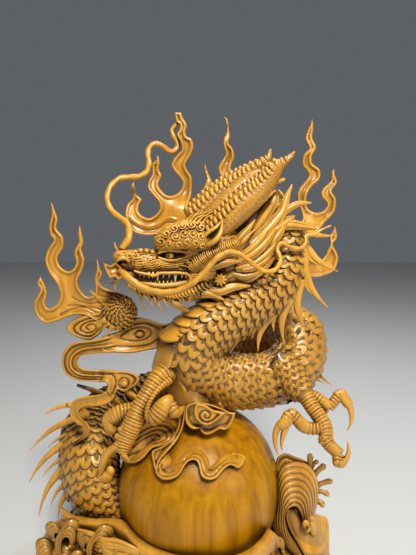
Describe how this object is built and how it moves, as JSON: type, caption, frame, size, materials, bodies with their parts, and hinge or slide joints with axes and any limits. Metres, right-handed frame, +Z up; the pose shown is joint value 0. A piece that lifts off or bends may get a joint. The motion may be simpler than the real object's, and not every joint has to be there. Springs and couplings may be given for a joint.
{
  "type": "dragon sculpture",
  "caption": "Carved wooden dragon coiled over a globe, with flames, clouds, a small orb and a wave base, standing on its flat underside.",
  "frame": {"origin": "on the flat underside, straight below the middle of the open front, 12 mm right of the globe's axis", "axes": "+Z up, -Y toward the front that shows the dragon's head turned to the left, +X to the viewer's right"},
  "size_m": [0.5566, 0.3854, 0.8227],
  "materials": {
    "carved_wood": "golden brown wood, waxed to a soft shine"
  },
  "bodies": {
    "root": {"dragon_carving": "carved_wood"}
  },
  "joints": []
}
